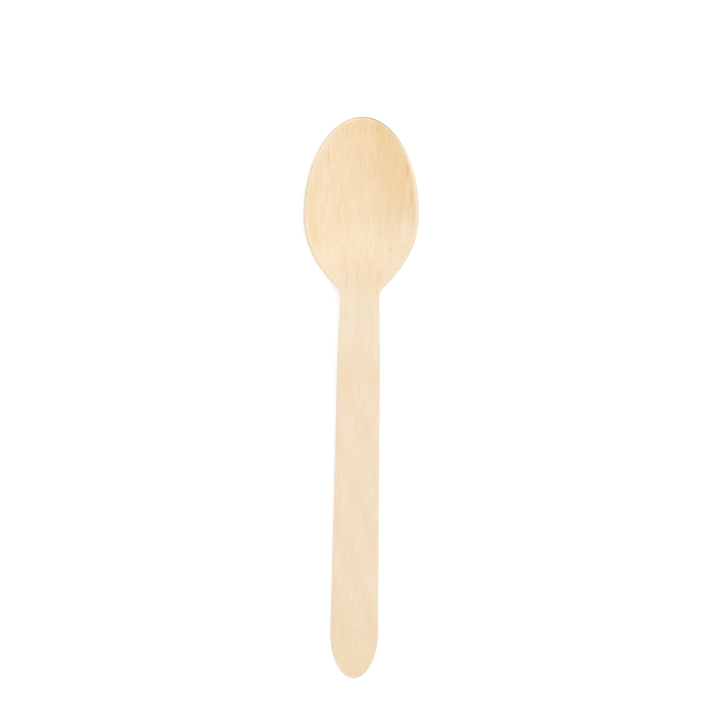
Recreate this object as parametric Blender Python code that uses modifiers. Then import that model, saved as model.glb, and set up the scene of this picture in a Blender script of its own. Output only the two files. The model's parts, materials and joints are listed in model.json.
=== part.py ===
"""Disposable wooden spoon: one piece of birch veneer, stamped flat and then hot pressed.

The blank has an egg-shaped bowl, a narrow neck and a handle that widens slowly to a round
end. The press dishes the bowl, deepest behind its widest place, and runs out in the neck,
so that the sheet bends down from the handle into the bowl. The cut edge stays square to the
sheet all the way round, and its corners are worn round. The spoon lies as it would on a
table, on the underside of its bowl and the far end of its handle, hollow side up.

Metres, +Z up. X runs across the spoon, and +Y from the handle towards the tip of the bowl.
A station is a distance along the blank from the tip of the bowl.
"""

import math

import bmesh
import bpy
from mathutils import Matrix

MM = 0.001

LENGTH = 160.0 * MM
THICKNESS = 1.7 * MM
EDGE_EASING = 0.25 * MM

BOWL_WIDTH = 33.2 * MM
BOWL_WIDEST_STATION = 27.8 * MM
FLANK_LENGTH = 26.4 * MM  # from the widest place to where the two flanks would meet
FLANK_POWER = 2.2  # how long the flanks stay full before they run in to the neck

NECK_WIDTH = 11.2 * MM
NECK_BLEND = 1.6 * MM  # how much the corner between flank and neck is filled
NECK_OPENING_LENGTH = 24.0 * MM  # from the neck to where the handle is full
HANDLE_WIDTH = 12.3 * MM
GRIP_WIDTH = 13.7 * MM
GRIP_FLARE_POWER = 1.5  # 1 widens evenly, and more widens later
END_ROUND_LENGTH = 13.3 * MM

PRESS_DEPTH = 4.5 * MM
PRESS_WIDTH = 35.0 * MM  # where the dish, at its deepest, would come level with the handle
DEEPEST_STATION = 36.0 * MM
RUN_OUT_LENGTH = 17.0 * MM  # from the deepest place to the flat of the handle

# The sheet is a grid of quads, finer where its outline turns. Columns count one half.
COLUMNS = 10
TIP_ROWS = 14
FLANK_ROWS = 12
CORNER_ROWS = 12
CORNER_REACH = 3.0 * MM  # on each side of the corner between flank and neck
NECK_ROWS = 8
HANDLE_ROWS = 14
END_ROWS = 10
EASING_SEGMENTS = 2
EASED_ABOVE = math.radians(60)
SETTLING_STEPS = 4
WELD = 0.00001

BIRCH_COLOUR = (0.88, 0.73, 0.53, 1.0)
BIRCH_ROUGHNESS = 0.62


def clear_scene():
    for old in list(bpy.data.objects):
        bpy.data.objects.remove(old, do_unlink=True)


def smooth_step(t):
    """0 below 0, 1 above 1, and level at both ends."""
    t = min(max(t, 0.0), 1.0)
    return t * t * (3 - 2 * t)


def corner_station():
    """Where a flank reaches the width of the neck."""
    narrowing = 1 - NECK_WIDTH / BOWL_WIDTH
    return BOWL_WIDEST_STATION + FLANK_LENGTH * narrowing ** (1 / FLANK_POWER)


def end_round_station():
    return LENGTH - END_ROUND_LENGTH


def flank_half_width(station):
    reach = min((station - BOWL_WIDEST_STATION) / FLANK_LENGTH, 1.0)
    return BOWL_WIDTH / 2 * (1 - reach**FLANK_POWER)


def handle_half_width(station):
    """The neck, opening to the handle, which widens to the grip."""
    full = corner_station() + NECK_OPENING_LENGTH
    along = max((station - full) / (end_round_station() - full), 0.0)
    open_width = HANDLE_WIDTH + (GRIP_WIDTH - HANDLE_WIDTH) * along**GRIP_FLARE_POWER
    opened = smooth_step((station - corner_station()) / NECK_OPENING_LENGTH)
    return (NECK_WIDTH + (open_width - NECK_WIDTH) * opened) / 2


def half_width(station):
    """Flank and handle as one outline, with the corner between them filled round."""
    flank = flank_half_width(station)
    handle = handle_half_width(station)
    near = max(1 - abs(flank - handle) / NECK_BLEND, 0.0)
    return max(flank, handle) + near**2 * NECK_BLEND / 4


def quarter_disc_point(u, v):
    """Spreads a grid of u and v from 0 to 1 over a quarter of a round disc.

    v is 0 along the straight side. At v = 1 the row lies on the curve itself, so no row
    shrinks to a point.
    """
    return u * math.sqrt(1 - v * v / 2), v * math.sqrt(1 - u * u / 2)


def tip_point(u, t):
    """The half ellipse before the widest place."""
    across, along = quarter_disc_point(u, 1 - t)
    return across * BOWL_WIDTH / 2, (1 - along) * BOWL_WIDEST_STATION


def end_point(u, t):
    """The half ellipse that ends the handle."""
    across, along = quarter_disc_point(u, t)
    return across * GRIP_WIDTH / 2, end_round_station() + along * END_ROUND_LENGTH


def straight_rows(first, last):
    """Rows straight across the blank, spread evenly from one station to another."""

    def point(u, t):
        station = first + (last - first) * t
        return u * half_width(station), station

    return point


def sections():
    """The stretches of the blank, tip first: how many rows each has, and its points."""
    corner = corner_station()
    before = corner - CORNER_REACH
    after = corner + CORNER_REACH
    full = corner + NECK_OPENING_LENGTH
    return (
        (TIP_ROWS, tip_point),
        (FLANK_ROWS, straight_rows(BOWL_WIDEST_STATION, before)),
        (CORNER_ROWS, straight_rows(before, after)),
        (NECK_ROWS, straight_rows(after, full)),
        (HANDLE_ROWS, straight_rows(full, end_round_station())),
        (END_ROWS, end_point),
    )


def press_depth(x, station):
    """How far the press has pushed the sheet down.

    From the tip to its deepest place the die is a round dish. From there the dish fades
    out along a wave, level at both ends, so that no crease is left across the neck.
    """
    across = (x / (PRESS_WIDTH / 2)) ** 2
    if station < DEEPEST_STATION:
        along = (1 - station / DEEPEST_STATION) ** 2
        return PRESS_DEPTH * (1 - along - across)
    run_out = min((station - DEEPEST_STATION) / RUN_OUT_LENGTH, 1.0)
    wave = (1 + math.cos(math.pi * run_out)) / 2
    return PRESS_DEPTH * wave * (1 - across)


def pressed_half_sheet():
    """The underside of one half of the spoon, open along its centre line."""
    rows = [(0.0, tip_point)]
    for count, point in sections():
        rows += [((i + 1) / count, point) for i in range(count)]
    sheet = bmesh.new()
    bmesh.ops.create_grid(sheet, x_segments=COLUMNS, y_segments=len(rows) - 1, size=0.5)
    for vertex in sheet.verts:
        u = vertex.co.x + 0.5
        t, point = rows[round((vertex.co.y + 0.5) * (len(rows) - 1))]
        x, station = point(u, t)
        vertex.co = (x, LENGTH / 2 - station, -press_depth(x, station))
    bmesh.ops.reverse_faces(sheet, faces=sheet.faces)
    sheet.normal_update()
    mesh = bpy.data.meshes.new("spoon")
    sheet.to_mesh(mesh)
    sheet.free()
    mesh.shade_smooth()
    return mesh


def birch():
    material = bpy.data.materials.new("birch")
    material.use_nodes = True
    shader = material.node_tree.nodes["Principled BSDF"]
    shader.inputs["Base Color"].default_value = BIRCH_COLOUR
    shader.inputs["Roughness"].default_value = BIRCH_ROUGHNESS
    shader.inputs["Metallic"].default_value = 0.0
    return material


def add_thickness_and_edges(spoon):
    """The other half, the thickness of the veneer above the underside, and worn edges."""
    mirror = spoon.modifiers.new("other_half", "MIRROR")
    mirror.use_axis = (True, False, False)
    mirror.use_clip = True
    mirror.merge_threshold = WELD
    veneer = spoon.modifiers.new("veneer", "SOLIDIFY")
    veneer.thickness = THICKNESS
    veneer.offset = 1.0
    veneer.use_even_offset = True
    easing = spoon.modifiers.new("eased_edges", "BEVEL")
    easing.width = EDGE_EASING
    easing.segments = EASING_SEGMENTS
    easing.limit_method = "ANGLE"
    easing.angle_limit = EASED_ABOVE
    easing.harden_normals = True


def finished_points(spoon):
    """Every point of the finished solid, before it is laid down."""
    solid = spoon.evaluated_get(bpy.context.evaluated_depsgraph_get())
    mesh = solid.to_mesh()
    points = [vertex.co.copy() for vertex in mesh.vertices]
    solid.to_mesh_clear()
    return points


def rest_pitch(points):
    """The pitch at which bowl and handle touch one level plane."""
    pitch = 0.0
    for _ in range(SETTLING_STEPS):
        turn = Matrix.Rotation(pitch, 3, "X")
        heel = min((p for p in points if p.y < 0), key=lambda p: (turn @ p).z)
        keel = min((p for p in points if p.y > 0), key=lambda p: (turn @ p).z)
        pitch = math.atan2(heel.z - keel.z, keel.y - heel.y)
    return pitch


def lay_on_table(spoon):
    """Rests the spoon on z = 0, with the middle of its outer box over the origin."""
    points = finished_points(spoon)
    pitch = rest_pitch(points)
    turn = Matrix.Rotation(pitch, 3, "X")
    laid = [turn @ point for point in points]
    ends = [point.y for point in laid]
    spoon.rotation_euler.x = pitch
    spoon.location.y = -(min(ends) + max(ends)) / 2
    spoon.location.z = -min(point.z for point in laid)


def main():
    clear_scene()
    collection = bpy.data.collections.new("wooden_spoon")
    bpy.context.scene.collection.children.link(collection)
    spoon = bpy.data.objects.new("spoon", pressed_half_sheet())
    spoon.data.materials.append(birch())
    collection.objects.link(spoon)
    add_thickness_and_edges(spoon)
    bpy.context.view_layer.update()
    lay_on_table(spoon)
    bpy.context.view_layer.update()


main()
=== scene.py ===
"""The looks of a disposable wooden spoon: its veneer at full detail, its birch and its studio.

Metres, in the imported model's frame: +X across the spoon, +Y from the handle towards the tip
of the bowl, +Z up. A station is a distance along the blank from the tip of the bowl.

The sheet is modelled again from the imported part's sizes, much finer and with what stamping
and pressing leave on a real one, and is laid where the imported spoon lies. Three values go
with each of its points: where the point was in the flat sheet, how far in from the cut it is,
and how much that cut runs across the grain. The birch is drawn from these.
"""

import json
import math

import bpy
import numpy as np
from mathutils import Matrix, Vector, noise


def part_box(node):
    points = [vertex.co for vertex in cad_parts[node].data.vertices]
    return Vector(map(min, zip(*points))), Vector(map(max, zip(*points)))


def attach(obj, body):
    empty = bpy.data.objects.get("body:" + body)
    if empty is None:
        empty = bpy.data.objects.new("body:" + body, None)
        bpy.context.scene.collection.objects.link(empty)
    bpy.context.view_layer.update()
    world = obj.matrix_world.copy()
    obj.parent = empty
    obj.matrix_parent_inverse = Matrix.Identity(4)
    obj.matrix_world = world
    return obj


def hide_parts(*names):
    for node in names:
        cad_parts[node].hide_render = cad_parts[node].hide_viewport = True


MM = 0.001

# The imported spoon's own sizes.
LENGTH = 160.0 * MM
THICKNESS = 1.7 * MM
EDGE_EASING = 0.25 * MM
BOWL_WIDTH = 33.2 * MM
BOWL_WIDEST_STATION = 27.8 * MM
FLANK_LENGTH = 26.4 * MM
FLANK_POWER = 2.2
NECK_WIDTH = 11.2 * MM
NECK_BLEND = 1.6 * MM
NECK_OPENING_LENGTH = 24.0 * MM
HANDLE_WIDTH = 12.3 * MM
GRIP_WIDTH = 13.7 * MM
GRIP_FLARE_POWER = 1.5
END_ROUND_LENGTH = 13.3 * MM
PRESS_DEPTH = 4.5 * MM
PRESS_WIDTH = 35.0 * MM
DEEPEST_STATION = 36.0 * MM
RUN_OUT_LENGTH = 17.0 * MM

# What the press and the stamp leave. A crease is its place across the sheet, and the two
# stations that it runs between, in millimetres.
CREASES = ((-4.2, 38.0, 49.0), (-0.7, 41.5, 57.0), (2.7, 39.0, 55.0), (4.8, 43.0, 54.0))
CREASE_WIDTH = 0.3 * MM
CREASE_DEPTH = 0.035 * MM
WAVE_HEIGHT = 0.06 * MM
WAVE_ACROSS = 7.0 * MM
WAVE_ALONG = 22.0 * MM
CUT_WOBBLE = 0.05 * MM
CUT_WOBBLE_LENGTH = 1.6 * MM

# The grid of each face: columns count one half, and crowd a little to the middle line.
COLUMNS = 46
CROWDING = 0.35
TIP_ROWS = 60
FLANK_ROWS = 56
CORNER_ROWS = 30
CORNER_REACH = 3.0 * MM
NECK_ROWS = 54
HANDLE_ROWS = 120
END_ROWS = 40
RIM_BAND = 0.7 * MM  # the strip inside the outline that is made of rings and not of the grid
BAND_STEPS = 3
EASING_STEPS = 4
WALL_STEPS = 4

# The view: straight down, turned a little, with the spoon below the middle of the picture.
VIEW_TURN = math.radians(0.95)
FIELD_WIDTH = 205.45 * MM
VIEW_HEIGHT = 1.2
SENSOR_WIDTH = 36.0
AIM_RIGHT = 0.51 * MM
AIM_UP = 10.80 * MM

SKY_STRENGTH = 0.83
KEY_POWER = 0.85
KEY_SIZE = 0.35
KEY_AT = (0.23, 0.20, 0.60)
FLOOR_COLOUR = (0.9, 0.9, 0.9, 1.0)
FLOOR_LIFT = 0.38  # how much the floor glows to the camera alone, so that it shows white
FLOOR_SIZE = 4.0
FLOOR_GAP = 0.01 * MM


def smooth_step(t):
    t = np.clip(t, 0.0, 1.0)
    return t * t * (3 - 2 * t)


def corner_station():
    narrowing = 1 - NECK_WIDTH / BOWL_WIDTH
    return BOWL_WIDEST_STATION + FLANK_LENGTH * narrowing ** (1 / FLANK_POWER)


def flank_half_width(station):
    reach = np.clip((station - BOWL_WIDEST_STATION) / FLANK_LENGTH, 0.0, 1.0)
    return BOWL_WIDTH / 2 * (1 - reach**FLANK_POWER)


def handle_half_width(station):
    full = corner_station() + NECK_OPENING_LENGTH
    end_round = LENGTH - END_ROUND_LENGTH
    along = np.maximum((station - full) / (end_round - full), 0.0)
    open_width = HANDLE_WIDTH + (GRIP_WIDTH - HANDLE_WIDTH) * along**GRIP_FLARE_POWER
    opened = smooth_step((station - corner_station()) / NECK_OPENING_LENGTH)
    return (NECK_WIDTH + (open_width - NECK_WIDTH) * opened) / 2


def half_width(station):
    """The wider of flank and handle, with the corner between them filled."""
    flank = flank_half_width(station)
    handle = handle_half_width(station)
    near = np.maximum(1 - np.abs(flank - handle) / NECK_BLEND, 0.0)
    return np.maximum(flank, handle) + near**2 * NECK_BLEND / 4


def face_half_width(station):
    """Half the width inside the rim band, which is taken off square to the outline."""
    step = 0.1 * MM
    slope = (half_width(station + step) - half_width(station - step)) / (2 * step)
    return half_width(station) - RIM_BAND * np.sqrt(1 + slope**2)


def quarter_disc(u, v):
    """Spreads a grid of u and v over a round disc, with its last row on the curve."""
    return u * np.sqrt(1 - v * v / 2), v * np.sqrt(1 - u * u / 2)


def blank_grid():
    """Across and station of every grid point of the flat blank, inside its rim band."""
    even = np.linspace(-1, 1, 2 * COLUMNS + 1)
    u = even * (1 - CROWDING + CROWDING * even**2)
    rows = []
    for v in np.linspace(1, 0, TIP_ROWS, endpoint=False):
        across, along = quarter_disc(u, v)
        x = across * (BOWL_WIDTH / 2 - RIM_BAND)
        rows.append((x, BOWL_WIDEST_STATION - along * (BOWL_WIDEST_STATION - RIM_BAND)))
    corner = corner_station()
    end_round = LENGTH - END_ROUND_LENGTH
    stops = (
        (BOWL_WIDEST_STATION, FLANK_ROWS),
        (corner - CORNER_REACH, CORNER_ROWS),
        (corner + CORNER_REACH, NECK_ROWS),
        (corner + NECK_OPENING_LENGTH, HANDLE_ROWS),
        (end_round, 0),
    )
    for (first, count), (last, _) in zip(stops, stops[1:]):
        for station in np.linspace(first, last, count, endpoint=False):
            rows.append((u * face_half_width(station), np.full_like(u, station)))
    for v in np.linspace(0, 1, END_ROWS + 1):
        across, along = quarter_disc(u, v)
        x = across * (GRIP_WIDTH / 2 - RIM_BAND)
        rows.append((x, end_round + along * (END_ROUND_LENGTH - RIM_BAND)))
    return np.array([r[0] for r in rows]), np.array([r[1] for r in rows])


def press_depth(x, station):
    """How far the die has pushed the sheet down."""
    across = (x / (PRESS_WIDTH / 2)) ** 2
    along = (1 - station / DEEPEST_STATION) ** 2
    dish = 1 - along - across
    run_out = np.clip((station - DEEPEST_STATION) / RUN_OUT_LENGTH, 0.0, 1.0)
    wave = (1 + np.cos(math.pi * run_out)) / 2
    return PRESS_DEPTH * np.where(station < DEEPEST_STATION, dish, wave * (1 - across))


def crease_depth(x, station):
    """The grooves along the grain where the sheet bends out of the neck."""
    depth = np.zeros_like(x)
    for at, first, last in CREASES:
        along = (2 * station / MM - first - last) / (last - first)
        groove = np.exp(-(((x - at * MM) / CREASE_WIDTH) ** 2))
        depth += CREASE_DEPTH * groove * smooth_step(1 - np.abs(along))
    return depth


def smooth_noise(points, size):
    """Perlin noise, about -1 to 1, at each of some points, with waves of the given size."""
    flat = np.asarray(points, float).reshape(-1, 3) / size
    values = [noise.noise(Vector(p)) for p in flat]
    return np.array(values).reshape(np.shape(points)[:-1])


def waves(x, station):
    """The slight unevenness of a dried veneer, level at its own middle height."""
    places = np.stack([x / WAVE_ACROSS, station / WAVE_ALONG, np.zeros_like(x)], axis=-1)
    return WAVE_HEIGHT * smooth_noise(places, 1.0)


def sheet_points(x, station):
    """The underside's points, and the direction square to the sheet at each."""

    def height(across, along):
        return -press_depth(across, along) - crease_depth(across, along)

    step = 0.05 * MM
    slope_x = (height(x + step, station) - height(x - step, station)) / (2 * step)
    slope_s = (height(x, station + step) - height(x, station - step)) / (2 * step)
    up = np.stack([-slope_x, slope_s, np.ones_like(x)], axis=-1)
    up /= np.linalg.norm(up, axis=-1, keepdims=True)
    lift = height(x, station) + waves(x, station)
    points = np.stack([x, LENGTH / 2 - station, lift], axis=-1)
    return points, up


def rim_indices(rows, columns):
    """Grid points of the outline, once round."""
    grid = np.arange(rows * columns).reshape(rows, columns)
    return np.concatenate([grid[0, :-1], grid[:-1, -1], grid[-1, :0:-1], grid[:0:-1, 0]])


def edge_profile():
    """The rim in section, from underside to upper side: how far in, and how far up."""
    band = np.linspace(RIM_BAND, EDGE_EASING, BAND_STEPS + 1)[1:-1]
    turn = np.linspace(0, math.pi / 2, EASING_STEPS + 1)
    lower = [(inset, 0.0) for inset in band]
    lower += [(EDGE_EASING * (1 - math.sin(a)), EDGE_EASING * (1 - math.cos(a))) for a in turn]
    upper = [(inset, THICKNESS - up) for inset, up in reversed(lower)]
    rise = np.linspace(EDGE_EASING, THICKNESS - EDGE_EASING, WALL_STEPS + 1)[1:-1]
    return lower + [(0.0, up) for up in rise] + upper


def outward_directions(under, up, rim):
    """The direction square to the outline, in the sheet, at each point of the rim."""
    ahead, behind = np.roll(rim, -1), np.roll(rim, 1)
    outward = np.cross(under[ahead] - under[behind], up[rim])
    outward /= np.linalg.norm(outward, axis=-1, keepdims=True)
    from_middle = under[rim] - under.mean(axis=0)
    return outward * np.sign(np.sum(outward * from_middle, axis=-1).sum())


def sheet_faces(rows, columns, rings):
    """The quads of both faces, and of the edge from ring to ring."""
    grid = np.arange(rows * columns).reshape(rows, columns)
    corners = (grid[:-1, :-1], grid[:-1, 1:], grid[1:, 1:], grid[1:, :-1])
    under_faces = np.stack([c.ravel() for c in corners], axis=-1)
    upper_faces = np.stack([c.ravel() + grid.size for c in reversed(corners)], axis=-1)
    faces = [under_faces, upper_faces]
    for low, high in zip(rings, rings[1:]):
        next_low, next_high = np.roll(low, -1), np.roll(high, -1)
        faces.append(np.stack([low, high, next_high, next_low], axis=-1))
    return np.concatenate(faces)


def spoon_mesh():
    """The closed sheet: both faces, and the cut edge between them."""
    x, station = blank_grid()
    under, up = sheet_points(x, station)
    rows, columns = x.shape
    count = rows * columns
    under, up = under.reshape(-1, 3), up.reshape(-1, 3)
    flat = np.stack([x.ravel(), station.ravel(), np.zeros(count)], axis=-1)
    upper_flat = flat + (0, 0, THICKNESS)
    rim = rim_indices(rows, columns)
    outward = outward_directions(under, up, rim)
    flat_outward = outward * (1, -1, 1)

    points = [under, under + up * THICKNESS]
    flats = [flat, upper_flat]
    insets = [np.full(2 * count, RIM_BAND)]
    across_grain = [np.zeros(2 * count)]
    rings = [rim]
    for inset, lift in edge_profile():
        wobble = CUT_WOBBLE * smooth_noise(flat[rim] + (0, 0, lift), CUT_WOBBLE_LENGTH)
        wobble *= smooth_step(1 - inset / EDGE_EASING)
        reach = (RIM_BAND - inset + wobble)[:, None]
        points.append(under[rim] + outward * reach + up[rim] * lift)
        flats.append(flat[rim] + flat_outward * reach * (1, 1, 0) + (0, 0, lift))
        insets.append(np.full(len(rim), inset))
        across_grain.append(np.abs(outward[:, 1]))
        rings.append(np.arange(len(rim)) + 2 * count + (len(rings) - 1) * len(rim))
    rings.append(rim + count)

    mesh = bpy.data.meshes.new("spoon_veneer")
    faces = sheet_faces(rows, columns, rings)
    mesh.from_pydata(np.concatenate(points).tolist(), [], faces.tolist())
    add_values(mesh, "sheet", "FLOAT_VECTOR", "vector", np.concatenate(flats))
    add_values(mesh, "inset", "FLOAT", "value", np.concatenate(insets))
    add_values(mesh, "across_grain", "FLOAT", "value", np.concatenate(across_grain))
    mesh.shade_smooth()
    return mesh


def add_values(mesh, name, kind, field, values):
    layer = mesh.attributes.new(name, kind, "POINT")
    layer.data.foreach_set(field, np.asarray(values, np.float32).ravel())


def lay_in_place(mesh, record):
    """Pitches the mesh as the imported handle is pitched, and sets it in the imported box."""
    axis = next(m["axis"] for m in record["mounts"] if m["name"] == "handle_top")
    pitch = math.atan2(-axis[1], axis[2])
    points = np.zeros(len(mesh.vertices) * 3)
    mesh.vertices.foreach_get("co", points)
    x, y, z = points.reshape(-1, 3).T
    turned_y = y * math.cos(pitch) - z * math.sin(pitch)
    turned_z = y * math.sin(pitch) + z * math.cos(pitch)
    low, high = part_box("spoon")
    turned_y += (low.y + high.y - turned_y.min() - turned_y.max()) / 2
    turned_z += low.z - turned_z.min()
    mesh.vertices.foreach_set("co", np.stack([x, turned_y, turned_z], axis=-1).ravel())
    mesh.update()


class Pattern:
    """Short ways to make and join the nodes of one material."""

    def __init__(self, material):
        material.use_nodes = True
        self.tree = material.node_tree
        self.shader = self.tree.nodes["Principled BSDF"]

    def node(self, kind, inputs, **settings):
        made = self.tree.nodes.new("ShaderNode" + kind)
        for name, value in settings.items():
            setattr(made, name, value)
        for socket, value in inputs.items():
            self.feed(made.inputs[socket], value)
        return made

    def feed(self, socket, value):
        if isinstance(value, bpy.types.NodeSocket):
            self.tree.links.new(value, socket)
        else:
            socket.default_value = value

    def math(self, operation, first, second=0.0, clamp=False):
        inputs = {0: first, 1: second}
        return self.node("Math", inputs, operation=operation, use_clamp=clamp).outputs[0]

    def product(self, first, *others):
        for other in others:
            first = self.math("MULTIPLY", first, other)
        return first

    def total(self, start, *terms):
        """A start, plus amounts times values."""
        made = start
        for amount, value in terms:
            made = self.math("ADD", made, self.math("MULTIPLY", value, amount))
        return made

    def step(self, value, low, high):
        """0 at low and 1 at high, with a smooth rise between. Low may be the larger."""
        if low > high:
            return self.math("SUBTRACT", 1.0, self.step(value, high, low))
        inputs = {"Value": value, "From Min": low, "From Max": high}
        made = self.node("MapRange", inputs, interpolation_type="SMOOTHSTEP")
        return made.outputs["Result"]

    def fade(self, value, limits):
        """A step whose two limits are given together, in millimetres."""
        low, high = limits
        return self.step(value, low * MM, high * MM)

    def noise(self, place, size, detail=2.0):
        """Noise around 0, with spots of a given width and length in millimetres."""
        width, length = size
        scale = (1 / (width * MM), 1 / (length * MM), 1 / (width * MM))
        mapped = self.node("Mapping", {"Vector": place, "Scale": scale}).outputs[0]
        made = self.node("TexNoise", {"Vector": mapped, "Scale": 1.0, "Detail": detail})
        return self.math("SUBTRACT", made.outputs["Fac"], 0.5)

    def mark(self, place, across, station, half_width, half_length, strength):
        """A soft spot on the upper face of the sheet, its place and size in millimetres."""
        size = Vector((half_width * MM, half_length * MM, THICKNESS))
        middle = Vector((across * MM, station * MM, THICKNESS))
        from_middle = self.node("VectorMath", {0: place, 1: middle}, operation="SUBTRACT")
        inputs = {0: from_middle.outputs[0], 1: size}
        scaled = self.node("VectorMath", inputs, operation="DIVIDE").outputs[0]
        distance = self.node("VectorMath", {0: scaled}, operation="LENGTH").outputs["Value"]
        return self.math("MULTIPLY", self.step(distance, 1.0, 0.0), strength)

    def marks(self, place, table):
        return self.total(0.0, *[(1.0, self.mark(place, *row)) for row in table])

    def mix(self, amount, first, second, blend="MIX"):
        """A mix of two colours, through the sockets that a Mix node keeps for colours."""
        made = self.node("Mix", {"Factor": amount}, data_type="RGBA", blend_type=blend)
        for index, value in ((6, first), (7, second)):
            self.feed(made.inputs[index], value)
        return made.outputs[2]

    def shaded(self, colour, shade):
        """A colour times a plain number, which makes it darker below 1 and lighter above."""
        channels = {"Red": shade, "Green": shade, "Blue": shade}
        grey = self.node("CombineColor", channels).outputs[0]
        return self.mix(1.0, colour, grey, blend="MULTIPLY")


# The face runs from pale to deep. The tints multiply it: rosy and greenish by turns, and
# between the two where the wood is even.
PALE = (0.962, 0.821, 0.635, 1.0)
DEEP = (0.862, 0.564, 0.215, 1.0)
ROSY = (1.005, 0.975, 0.98, 1.0)
GREENISH = (0.985, 1.0, 0.99, 1.0)
BETWEEN = (0.995, 0.9875, 0.985, 1.0)
# On the handle the face is a little less rosy and a little darker; the darkening is painted
# shade of light falling off away from the lamp.
HANDLE_TINT_AND_SHADE = (0.960, 0.968, 0.975, 1.0)
EDGE_COLOUR = (0.955, 0.817, 0.635, 1.0)  # the cut along the grain
END_GRAIN_COLOUR = (0.62, 0.47, 0.312, 1.0)  # the cut across the grain
FLECK_COLOUR = (0.62, 0.42, 0.22, 1.0)
SPECULAR = 0.3
ROUGHNESS = 0.6
FIBRE_ROUGHNESS = 0.35

# The spots of each noise, as their width and length in millimetres.
FIBRE_SIZE = (0.20, 5.0)
VESSEL_SIZE = (0.09, 1.7)
PORE_SIZE = (0.12, 0.5)
STREAK_SIZE = (0.75, 5.0)
SOFT_STREAK_SIZE = (1.2, 7.0)
LINE_SIZE = (0.60, 6.0)
MOTTLE_SIZE = (0.8, 1.2)
BLUSH_SIZE = (2.2, 6.0)
LIVELY_SIZE = (3.0, 8.0)
BAND_SIZE = (3.2, 60.0)
CLOUD_SIZE = (5.0, 11.0)
WANDER_SIZE = (15.0, 6.0)

# The values at which a noise starts to count and counts in full.
VESSEL_LEVELS = (0.10, 0.22)
PORE_LEVELS = (0.0, 0.3)
LINE_LEVELS = (0.04, 0.22)
BLUSH_LEVELS = (-0.15, 0.15)
LIVELY_LEVELS = (-0.12, 0.12)

# The same for the cut's turn across the grain.
END_GRAIN_LEVELS = (0.25, 0.95)

# Streaks are this strong in calm wood, and gain this much where it is lively.
CALM_STREAKS = 0.5
LIVELY_STREAKS = 0.8

BASE_TONE = 0.14
STREAK_TONE = 0.34  # how much a placed streak deepens the tone
RIM_PALING = 0.8  # how much of the tone the face loses near the cut: partly a paler burnished rim, partly a painted highlight along the eased edge
PORE_DARKNESS = 0.5
CUT_BEHIND_PAINTED_LIGHT = 0.95  # how much of its darkness the end grain loses behind, and on the left, as painted light where the cut faces away from the lamp
CUT_LEFT_PAINTED_LIGHT = 0.9

# The faint figure that slants over the handle, and how far marks stray from their places.
FIGURE_SLANT = 2.68
FIGURE_START = 85.0 * MM
FIGURE_PITCH = 23.0 * MM
FIGURE_WOBBLE = 12.0 * MM
WANDER = 0.6 * MM

# Where each stretch of the spoon comes in or goes out, in millimetres: from the value at
# which it counts for nothing to the one at which it counts in full. They are stations, or
# places across where the name says side.
BOWL_OUT = (50, 40)
FRONT_OUT = (40, 12)
RIGHT_SIDE = (-3, 5)
RIGHT_SLANT = 0.3  # how far the right side's limits move over for each millimetre along
RIGHT_OUT = (38, 24)
RIGHT_TIP_OUT = (24, 14)
MIDDLE_SIDE = (-10, -3)
MIDDLE_OUT = (37, 24)
TONGUE_IN = (39, 42)
TONGUE_OUT = (54, 47)
TONGUE_SIDE = (6.5, 5)
NECK_IN = (49, 54)
NECK_OUT = (74, 60)
HANDLE_IN = (60, 75)
HANDLE_LEFT_PAINTED_SHADE_SIDE = (-4.3, -6.2)
PAST_BOWL_IN = (36, 56)
END_IN = (132, 146)
CUT_BEHIND_IN = (30, 40)
CUT_LEFT_SIDE = (4, -6)
CUT_LEFT_OUT = (30, 20)

# How far in from the cut the face turns paler, and where it turns to the cut itself.
PALE_RIM = (0.65, 0.35)
CUT_RIM = (0.20, 0.03)

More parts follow.
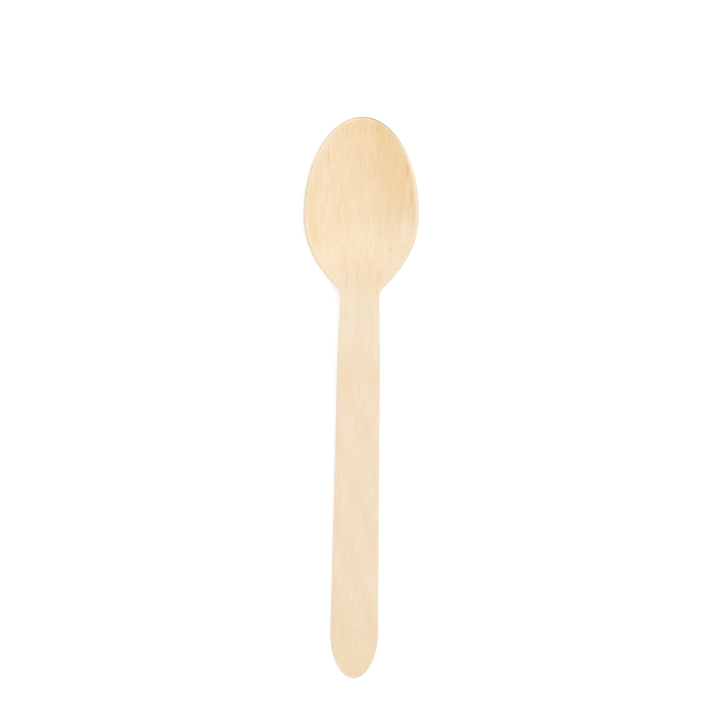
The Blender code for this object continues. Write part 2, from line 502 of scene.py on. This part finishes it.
# What stands out on the upper face, in millimetres: place across, station, half width, half
# length and strength. A patch only deepens the tone, or makes it paler where it is negative.
# A streak also darkens it a little, and a fleck has a colour of its own.
PATCHES = (
    (5.9, 46.3, 1.20, 3.2, 0.28),
    (-1.0, 2.6, 7.00, 3.6, 0.16),
    (-15.5, 24.0, 3.00, 14.0, 0.15),
    (-12.0, 33.0, 4.00, 9.0, 0.10),
    (-10.5, 6.0, 4.00, 4.5, -0.12),
    (-14.5, 34.5, 2.50, 5.0, 0.14),
    (13.2, 14.0, 1.20, 6.0, 0.22),
    (13.5, 31.0, 3.00, 8.0, -0.09),
    (5.0, 117.3, 0.70, 2.2, 0.22),
)
STREAKS = (
    (-4.6, 4.6, 0.45, 3.5, 0.40),
    (-3.1, 4.2, 0.40, 3.0, 0.32),
    (-0.7, 4.6, 0.45, 4.5, 0.30),
    (3.0, 4.2, 0.45, 3.5, 0.30),
    (4.6, 3.0, 0.50, 2.4, 0.40),
    (8.0, 5.6, 0.50, 1.8, 0.10),
    (2.9, 11.0, 0.45, 3.0, 0.28),
    (4.9, 10.8, 0.45, 4.0, 0.42),
    (-10.0, 11.4, 0.65, 6.0, 0.34),
    (-5.0, 11.5, 0.50, 3.0, 0.22),
    (-0.6, 12.0, 0.50, 2.5, 0.22),
    (10.4, 12.2, 0.60, 3.5, 0.10),
    (13.6, 14.9, 0.60, 2.8, 0.45),
    (4.0, 16.0, 0.45, 2.6, 0.28),
    (6.6, 17.0, 0.50, 4.0, 0.28),
    (-13.8, 21.0, 0.55, 6.0, 0.20),
    (-10.1, 21.5, 0.55, 5.0, 0.30),
    (-6.0, 19.3, 0.45, 2.5, 0.25),
    (8.3, 21.5, 0.60, 4.0, 0.25),
    (12.1, 21.2, 0.65, 4.5, 0.12),
    (14.8, 22.5, 0.50, 5.0, 0.40),
    (-6.8, 26.2, 0.45, 3.0, 0.28),
    (-2.9, 28.4, 0.42, 3.6, 0.28),
    (11.5, 28.5, 0.55, 6.0, 0.10),
    (5.8, 29.3, 0.42, 3.4, 0.28),
    (7.7, 28.5, 0.42, 4.0, 0.25),
    (2.4, 28.8, 0.50, 3.0, 0.30),
    (-13.6, 29.5, 0.50, 4.0, 0.20),
    (-10.3, 34.0, 0.50, 4.0, 0.18),
    (4.6, 38.2, 0.42, 5.0, 0.35),
    (9.0, 38.4, 0.42, 4.0, 0.20),
    (-4.5, 41.4, 0.45, 3.8, 0.38),
    (-4.0, 47.0, 0.42, 4.5, 0.25),
    (-3.9, 56.5, 0.42, 5.5, 0.32),
    (-0.7, 46.5, 0.50, 6.5, 0.45),
    (-0.5, 57.0, 0.45, 8.0, 0.14),
    (0.3, 77.5, 0.42, 4.0, 0.30),
    (2.7, 45.0, 0.50, 6.5, 0.38),
    (3.0, 55.0, 0.45, 5.5, 0.28),
    (3.9, 62.0, 0.45, 4.5, 0.22),
    (4.8, 48.3, 0.45, 6.5, 0.48),
    (8.9, 43.6, 0.38, 2.5, 0.20),
)
FLECKS = (
    (8.0, 24.9, 0.28, 0.45, 0.40),
    (8.6, 29.5, 0.28, 0.50, 0.38),
    (9.0, 37.9, 0.22, 1.10, 0.45),
    (11.6, 40.6, 0.28, 0.35, 0.45),
    (14.3, 37.7, 0.30, 0.30, 0.35),
    (11.4, 43.4, 0.30, 0.30, 0.35),
    (-9.5, 43.5, 0.28, 0.30, 0.35),
    (3.6, 56.0, 0.25, 0.40, 0.30),
)


def stretches(p, across, station):
    """How much a point belongs to each stretch of the spoon, from 0 to 1."""
    right = p.fade(p.total(across, (-RIGHT_SLANT, station)), RIGHT_SIDE)
    middle = p.fade(across, MIDDLE_SIDE)
    tongue = p.fade(p.math("ABSOLUTE", across), TONGUE_SIDE)
    handle = p.fade(station, HANDLE_IN)
    return {
        "bowl": p.fade(station, BOWL_OUT),
        "front": p.fade(station, FRONT_OUT),
        "right": p.product(right, p.fade(station, RIGHT_OUT)),
        "right_tip": p.product(right, p.fade(station, RIGHT_TIP_OUT)),
        "middle": p.product(middle, p.fade(station, MIDDLE_OUT)),
        "tongue": p.product(p.fade(station, TONGUE_IN), p.fade(station, TONGUE_OUT), tongue),
        "neck": p.product(p.fade(station, NECK_IN), p.fade(station, NECK_OUT)),
        "handle": handle,
        "handle_left_painted_shade": p.product(p.fade(across, HANDLE_LEFT_PAINTED_SHADE_SIDE), handle),
        "past_bowl": p.fade(station, PAST_BOWL_IN),
        "end": p.fade(station, END_IN),
    }


def grain_of(p, sheet, at):
    """The noises of the grain. Lines are in lively wood alone, soft streaks in the bowl."""
    lively = p.step(p.noise(sheet, LIVELY_SIZE, detail=1), *LIVELY_LEVELS)
    lines = p.step(p.noise(sheet, LINE_SIZE, detail=1), *LINE_LEVELS)
    streaks = p.noise(sheet, STREAK_SIZE)
    soft_streaks = p.noise(sheet, SOFT_STREAK_SIZE, detail=1)
    return {
        "fibres": p.noise(sheet, FIBRE_SIZE, detail=3),
        "vessels": p.step(p.noise(sheet, VESSEL_SIZE), *VESSEL_LEVELS),
        "pores": p.noise(sheet, PORE_SIZE),
        "streaks": p.product(streaks, p.total(CALM_STREAKS, (LIVELY_STREAKS, lively))),
        "soft_streaks": p.product(soft_streaks, at["bowl"]),
        "lines": p.product(lines, lively),
        "mottle": p.noise(sheet, MOTTLE_SIZE, detail=1),
        "bands": p.noise(sheet, BAND_SIZE, detail=1),
        "clouds": p.noise(sheet, CLOUD_SIZE),
    }


def handle_figure(p, grain, across, station, at):
    """The slanting waves of light and dark along the handle."""
    clouds = grain["clouds"]
    diagonal = p.total(station, (-FIGURE_SLANT, across), (FIGURE_WOBBLE, clouds))
    from_start = p.math("SUBTRACT", diagonal, FIGURE_START)
    turn = p.math("MULTIPLY", from_start, 2 * math.pi / FIGURE_PITCH)
    return p.product(p.math("COSINE", turn), at["handle"])


def face_tone(p, grain, figure, at):
    """How deep the face is in colour, from 0 for pale to 1 for deep, before its marks."""
    return p.total(
        BASE_TONE,
        # The front and the right of the bowl are deeper partly in the wood's own colour and
        # partly as painted shade on the walls that face away from the lamp.
        (0.12, at["front"]),
        (0.18, at["right"]),
        (0.12, at["middle"]),
        (0.09, at["tongue"]),
        (-0.09, at["neck"]),
        (0.02, at["handle"]),
        (0.045, figure),
        (0.09, at["end"]),
        (0.06, grain["fibres"]),
        (0.10, grain["streaks"]),
        (0.08, grain["soft_streaks"]),
        (0.05, grain["lines"]),
        (0.05, p.product(grain["lines"], at["bowl"])),
        (0.20, grain["bands"]),
        (0.22, grain["clouds"]),
        (0.05, p.product(grain["clouds"], at["bowl"])),
        (-0.10, p.product(grain["bands"], at["end"])),
        (-0.10, p.product(grain["clouds"], at["end"])),
    )


def face_shade(p, grain, dark_streaks, rim, at):
    """How light the face is, whatever its colour, with painted shade along the handle's left
    edge.
    """
    return p.total(
        1.0,
        (-0.05, grain["fibres"]),
        (-0.02, grain["vessels"]),
        (-0.06, grain["streaks"]),
        (-0.08, grain["soft_streaks"]),
        (-0.02, p.product(grain["lines"], at["bowl"])),
        (-0.15, dark_streaks),
        (-0.06, grain["mottle"]),
        (-0.06, p.product(grain["mottle"], at["end"])),
        (-0.02, p.product(rim, at["past_bowl"])),
        # Painted shade: the handle's left edge is darker, as on the side turned away from the
        # lamp.
        (-0.02, at["handle_left_painted_shade"]),
    )


def face_colour(p, sheet, inset, grain, figure, at):
    """The face's colour from its tone, tints, shade and flecks. It is paler near the cut,
    partly as a painted highlight along the eased rim.
    """
    wander = p.math("MULTIPLY", p.noise(sheet, WANDER_SIZE, detail=1), WANDER)
    shift = p.node("CombineXYZ", {"X": wander}).outputs[0]
    bent = p.node("VectorMath", {0: sheet, 1: shift}, operation="ADD").outputs[0]
    patches = p.marks(bent, PATCHES)
    dark_streaks = p.marks(bent, STREAKS)
    tone = face_tone(p, grain, figure, at)
    tone = p.total(tone, (1.0, patches), (STREAK_TONE, dark_streaks))
    # Paler near the cut: partly the burnished rim and partly a painted highlight along the
    # eased edge.
    rim = p.fade(inset, PALE_RIM)
    paling = p.total(RIM_PALING, (-0.35, at["past_bowl"]), (-0.40, at["right_tip"]))
    remaining = p.math("SUBTRACT", 1.0, p.product(rim, paling))
    tone = p.math("MULTIPLY", tone, remaining, clamp=True)

    blush = p.step(p.noise(sheet, BLUSH_SIZE, detail=1), *BLUSH_LEVELS)
    even = p.total(0.0, (0.45, at["front"]), (0.5, at["end"]))
    tint = p.mix(even, p.mix(blush, GREENISH, ROSY), BETWEEN)
    face = p.mix(1.0, p.mix(tone, PALE, DEEP), tint, blend="MULTIPLY")
    # Past the bowl the handle tint gives the wood's hue and a painted shade.
    on_handle = p.mix(1.0, face, HANDLE_TINT_AND_SHADE, blend="MULTIPLY")
    face = p.mix(at["past_bowl"], face, on_handle)
    face = p.shaded(face, face_shade(p, grain, dark_streaks, rim, at))
    return p.mix(p.marks(sheet, FLECKS), face, FLECK_COLOUR)


def cut_shade(p, grain):
    """How light the cut edge is, whatever its colour."""
    return p.total(
        1.0,
        (-0.25, grain["fibres"]),
        (-0.30, grain["streaks"]),
        (-0.08, grain["vessels"]),
    )


def cut_colour(p, across, station, across_grain, grain):
    """End grain is darker, but hardly so behind the bowl's middle and on the tip's left, where
    painted light makes the cut paler as it faces away from the lamp.
    """
    behind = p.product(p.fade(station, CUT_BEHIND_IN), CUT_BEHIND_PAINTED_LIGHT)
    left = p.fade(across, CUT_LEFT_SIDE)
    left = p.product(left, p.fade(station, CUT_LEFT_OUT), CUT_LEFT_PAINTED_LIGHT)
    darker = p.math("SUBTRACT", 1.0, p.math("ADD", behind, left))
    end_grain = p.product(p.step(across_grain, *END_GRAIN_LEVELS), darker)
    cut = p.mix(end_grain, EDGE_COLOUR, END_GRAIN_COLOUR)
    pores = p.product(p.step(grain["pores"], *PORE_LEVELS), PORE_DARKNESS)
    cut = p.mix(pores, cut, END_GRAIN_COLOUR)
    return p.shaded(cut, cut_shade(p, grain))


def relief(p, grain):
    """How far the grain stands out of the wood, in millimetres."""
    return p.total(
        0.0,
        (0.02, grain["fibres"]),
        (0.03, grain["streaks"]),
        (-0.01, grain["vessels"]),
        (0.012, grain["pores"]),
    )


def birch():
    material = bpy.data.materials.new("birch")
    p = Pattern(material)
    sheet = p.node("Attribute", {}, attribute_name="sheet").outputs["Vector"]
    inset = p.node("Attribute", {}, attribute_name="inset").outputs["Fac"]
    across_grain = p.node("Attribute", {}, attribute_name="across_grain").outputs["Fac"]
    parts = p.node("SeparateXYZ", {"Vector": sheet})
    across, station = parts.outputs["X"], parts.outputs["Y"]
    at = stretches(p, across, station)
    grain = grain_of(p, sheet, at)
    figure = handle_figure(p, grain, across, station, at)
    face = face_colour(p, sheet, inset, grain, figure, at)
    cut = cut_colour(p, across, station, across_grain, grain)
    colour = p.mix(p.fade(inset, CUT_RIM), face, cut)

    bump = p.node("Bump", {"Height": relief(p, grain), "Distance": MM, "Strength": 1.0})
    roughness = p.total(ROUGHNESS, (FIBRE_ROUGHNESS, grain["fibres"]))
    p.feed(p.shader.inputs["Base Color"], colour)
    p.feed(p.shader.inputs["Roughness"], roughness)
    p.feed(p.shader.inputs["Normal"], bump.outputs["Normal"])
    p.shader.inputs["Specular IOR Level"].default_value = SPECULAR
    return material


def seen_only(tree):
    """1 for the camera and for what shows in gloss or through glass, and 0 for light."""
    path = tree.nodes.new("ShaderNodeLightPath")
    made = path.outputs["Is Camera Ray"]
    for other in ("Is Glossy Ray", "Is Transmission Ray"):
        both = tree.nodes.new("ShaderNodeMath")
        both.operation = "MAXIMUM"
        tree.links.new(made, both.inputs[0])
        tree.links.new(path.outputs[other], both.inputs[1])
        made = both.outputs[0]
    return made


def add_floor():
    bpy.ops.mesh.primitive_plane_add(size=FLOOR_SIZE, location=(0, 0, -FLOOR_GAP))
    floor = bpy.context.object
    floor.name = "studio_floor"
    material = bpy.data.materials.new("floor_white")
    material.use_nodes = True
    tree = material.node_tree
    shader = tree.nodes["Principled BSDF"]
    shader.inputs["Base Color"].default_value = FLOOR_COLOUR
    shader.inputs["Roughness"].default_value = 1.0
    shader.inputs["Specular IOR Level"].default_value = 0.0
    shader.inputs["Emission Color"].default_value = (1.0, 1.0, 1.0, 1.0)
    lift = tree.nodes.new("ShaderNodeMath")
    lift.operation = "MULTIPLY"
    lift.inputs[1].default_value = FLOOR_LIFT
    tree.links.new(seen_only(tree), lift.inputs[0])
    tree.links.new(lift.outputs[0], shader.inputs["Emission Strength"])
    floor.data.materials.append(material)


def add_sky():
    """Even light from all round, which shows as white."""
    world = bpy.data.worlds.new("studio")
    bpy.context.scene.world = world
    world.use_nodes = True
    tree = world.node_tree
    background = tree.nodes["Background"]
    background.inputs["Color"].default_value = (1.0, 1.0, 1.0, 1.0)
    strength = tree.nodes.new("ShaderNodeMapRange")
    strength.inputs["To Min"].default_value = SKY_STRENGTH
    strength.inputs["To Max"].default_value = 1.0
    tree.links.new(seen_only(tree), strength.inputs["Value"])
    tree.links.new(strength.outputs["Result"], background.inputs["Strength"])


def add_key():
    """A broad soft lamp past the tip of the bowl, on its right."""
    lamp = bpy.data.lights.new("key", "AREA")
    lamp.energy = KEY_POWER
    lamp.size = KEY_SIZE
    key = bpy.data.objects.new("key", lamp)
    key.location = KEY_AT
    key.rotation_euler = Vector(KEY_AT).to_track_quat("Z", "Y").to_euler()
    bpy.context.scene.collection.objects.link(key)


def add_camera():
    """Looks straight down from far enough away that little perspective shows."""
    data = bpy.data.cameras.new("camera")
    data.sensor_width = SENSOR_WIDTH
    data.lens = SENSOR_WIDTH * VIEW_HEIGHT / FIELD_WIDTH
    data.clip_start = 0.01
    camera = bpy.data.objects.new("camera", data)
    right = Vector((math.cos(VIEW_TURN), math.sin(VIEW_TURN), 0.0))
    up = Vector((-math.sin(VIEW_TURN), math.cos(VIEW_TURN), 0.0))
    camera.location = right * AIM_RIGHT + up * AIM_UP + Vector((0.0, 0.0, VIEW_HEIGHT))
    camera.rotation_euler = (0.0, 0.0, VIEW_TURN)
    bpy.context.scene.collection.objects.link(camera)
    bpy.context.scene.camera = camera


def add_spoon(record):
    mesh = spoon_mesh()
    lay_in_place(mesh, record)
    spoon = bpy.data.objects.new("spoon_veneer", mesh)
    bpy.context.scene.collection.objects.link(spoon)
    mesh.materials.append(birch())
    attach(spoon, "root")
    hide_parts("spoon")


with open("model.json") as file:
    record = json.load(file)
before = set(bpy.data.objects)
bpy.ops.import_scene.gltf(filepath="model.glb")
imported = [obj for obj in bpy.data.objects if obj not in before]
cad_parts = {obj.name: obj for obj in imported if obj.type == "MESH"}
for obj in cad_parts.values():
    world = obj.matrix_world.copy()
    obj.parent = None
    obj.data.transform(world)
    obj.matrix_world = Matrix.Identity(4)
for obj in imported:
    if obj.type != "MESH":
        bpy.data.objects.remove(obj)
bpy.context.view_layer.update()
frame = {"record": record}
add_spoon(frame["record"])
add_floor()
add_sky()
add_key()
add_camera()
bpy.context.scene.view_settings.view_transform = "Standard"
bpy.context.view_layer.update()
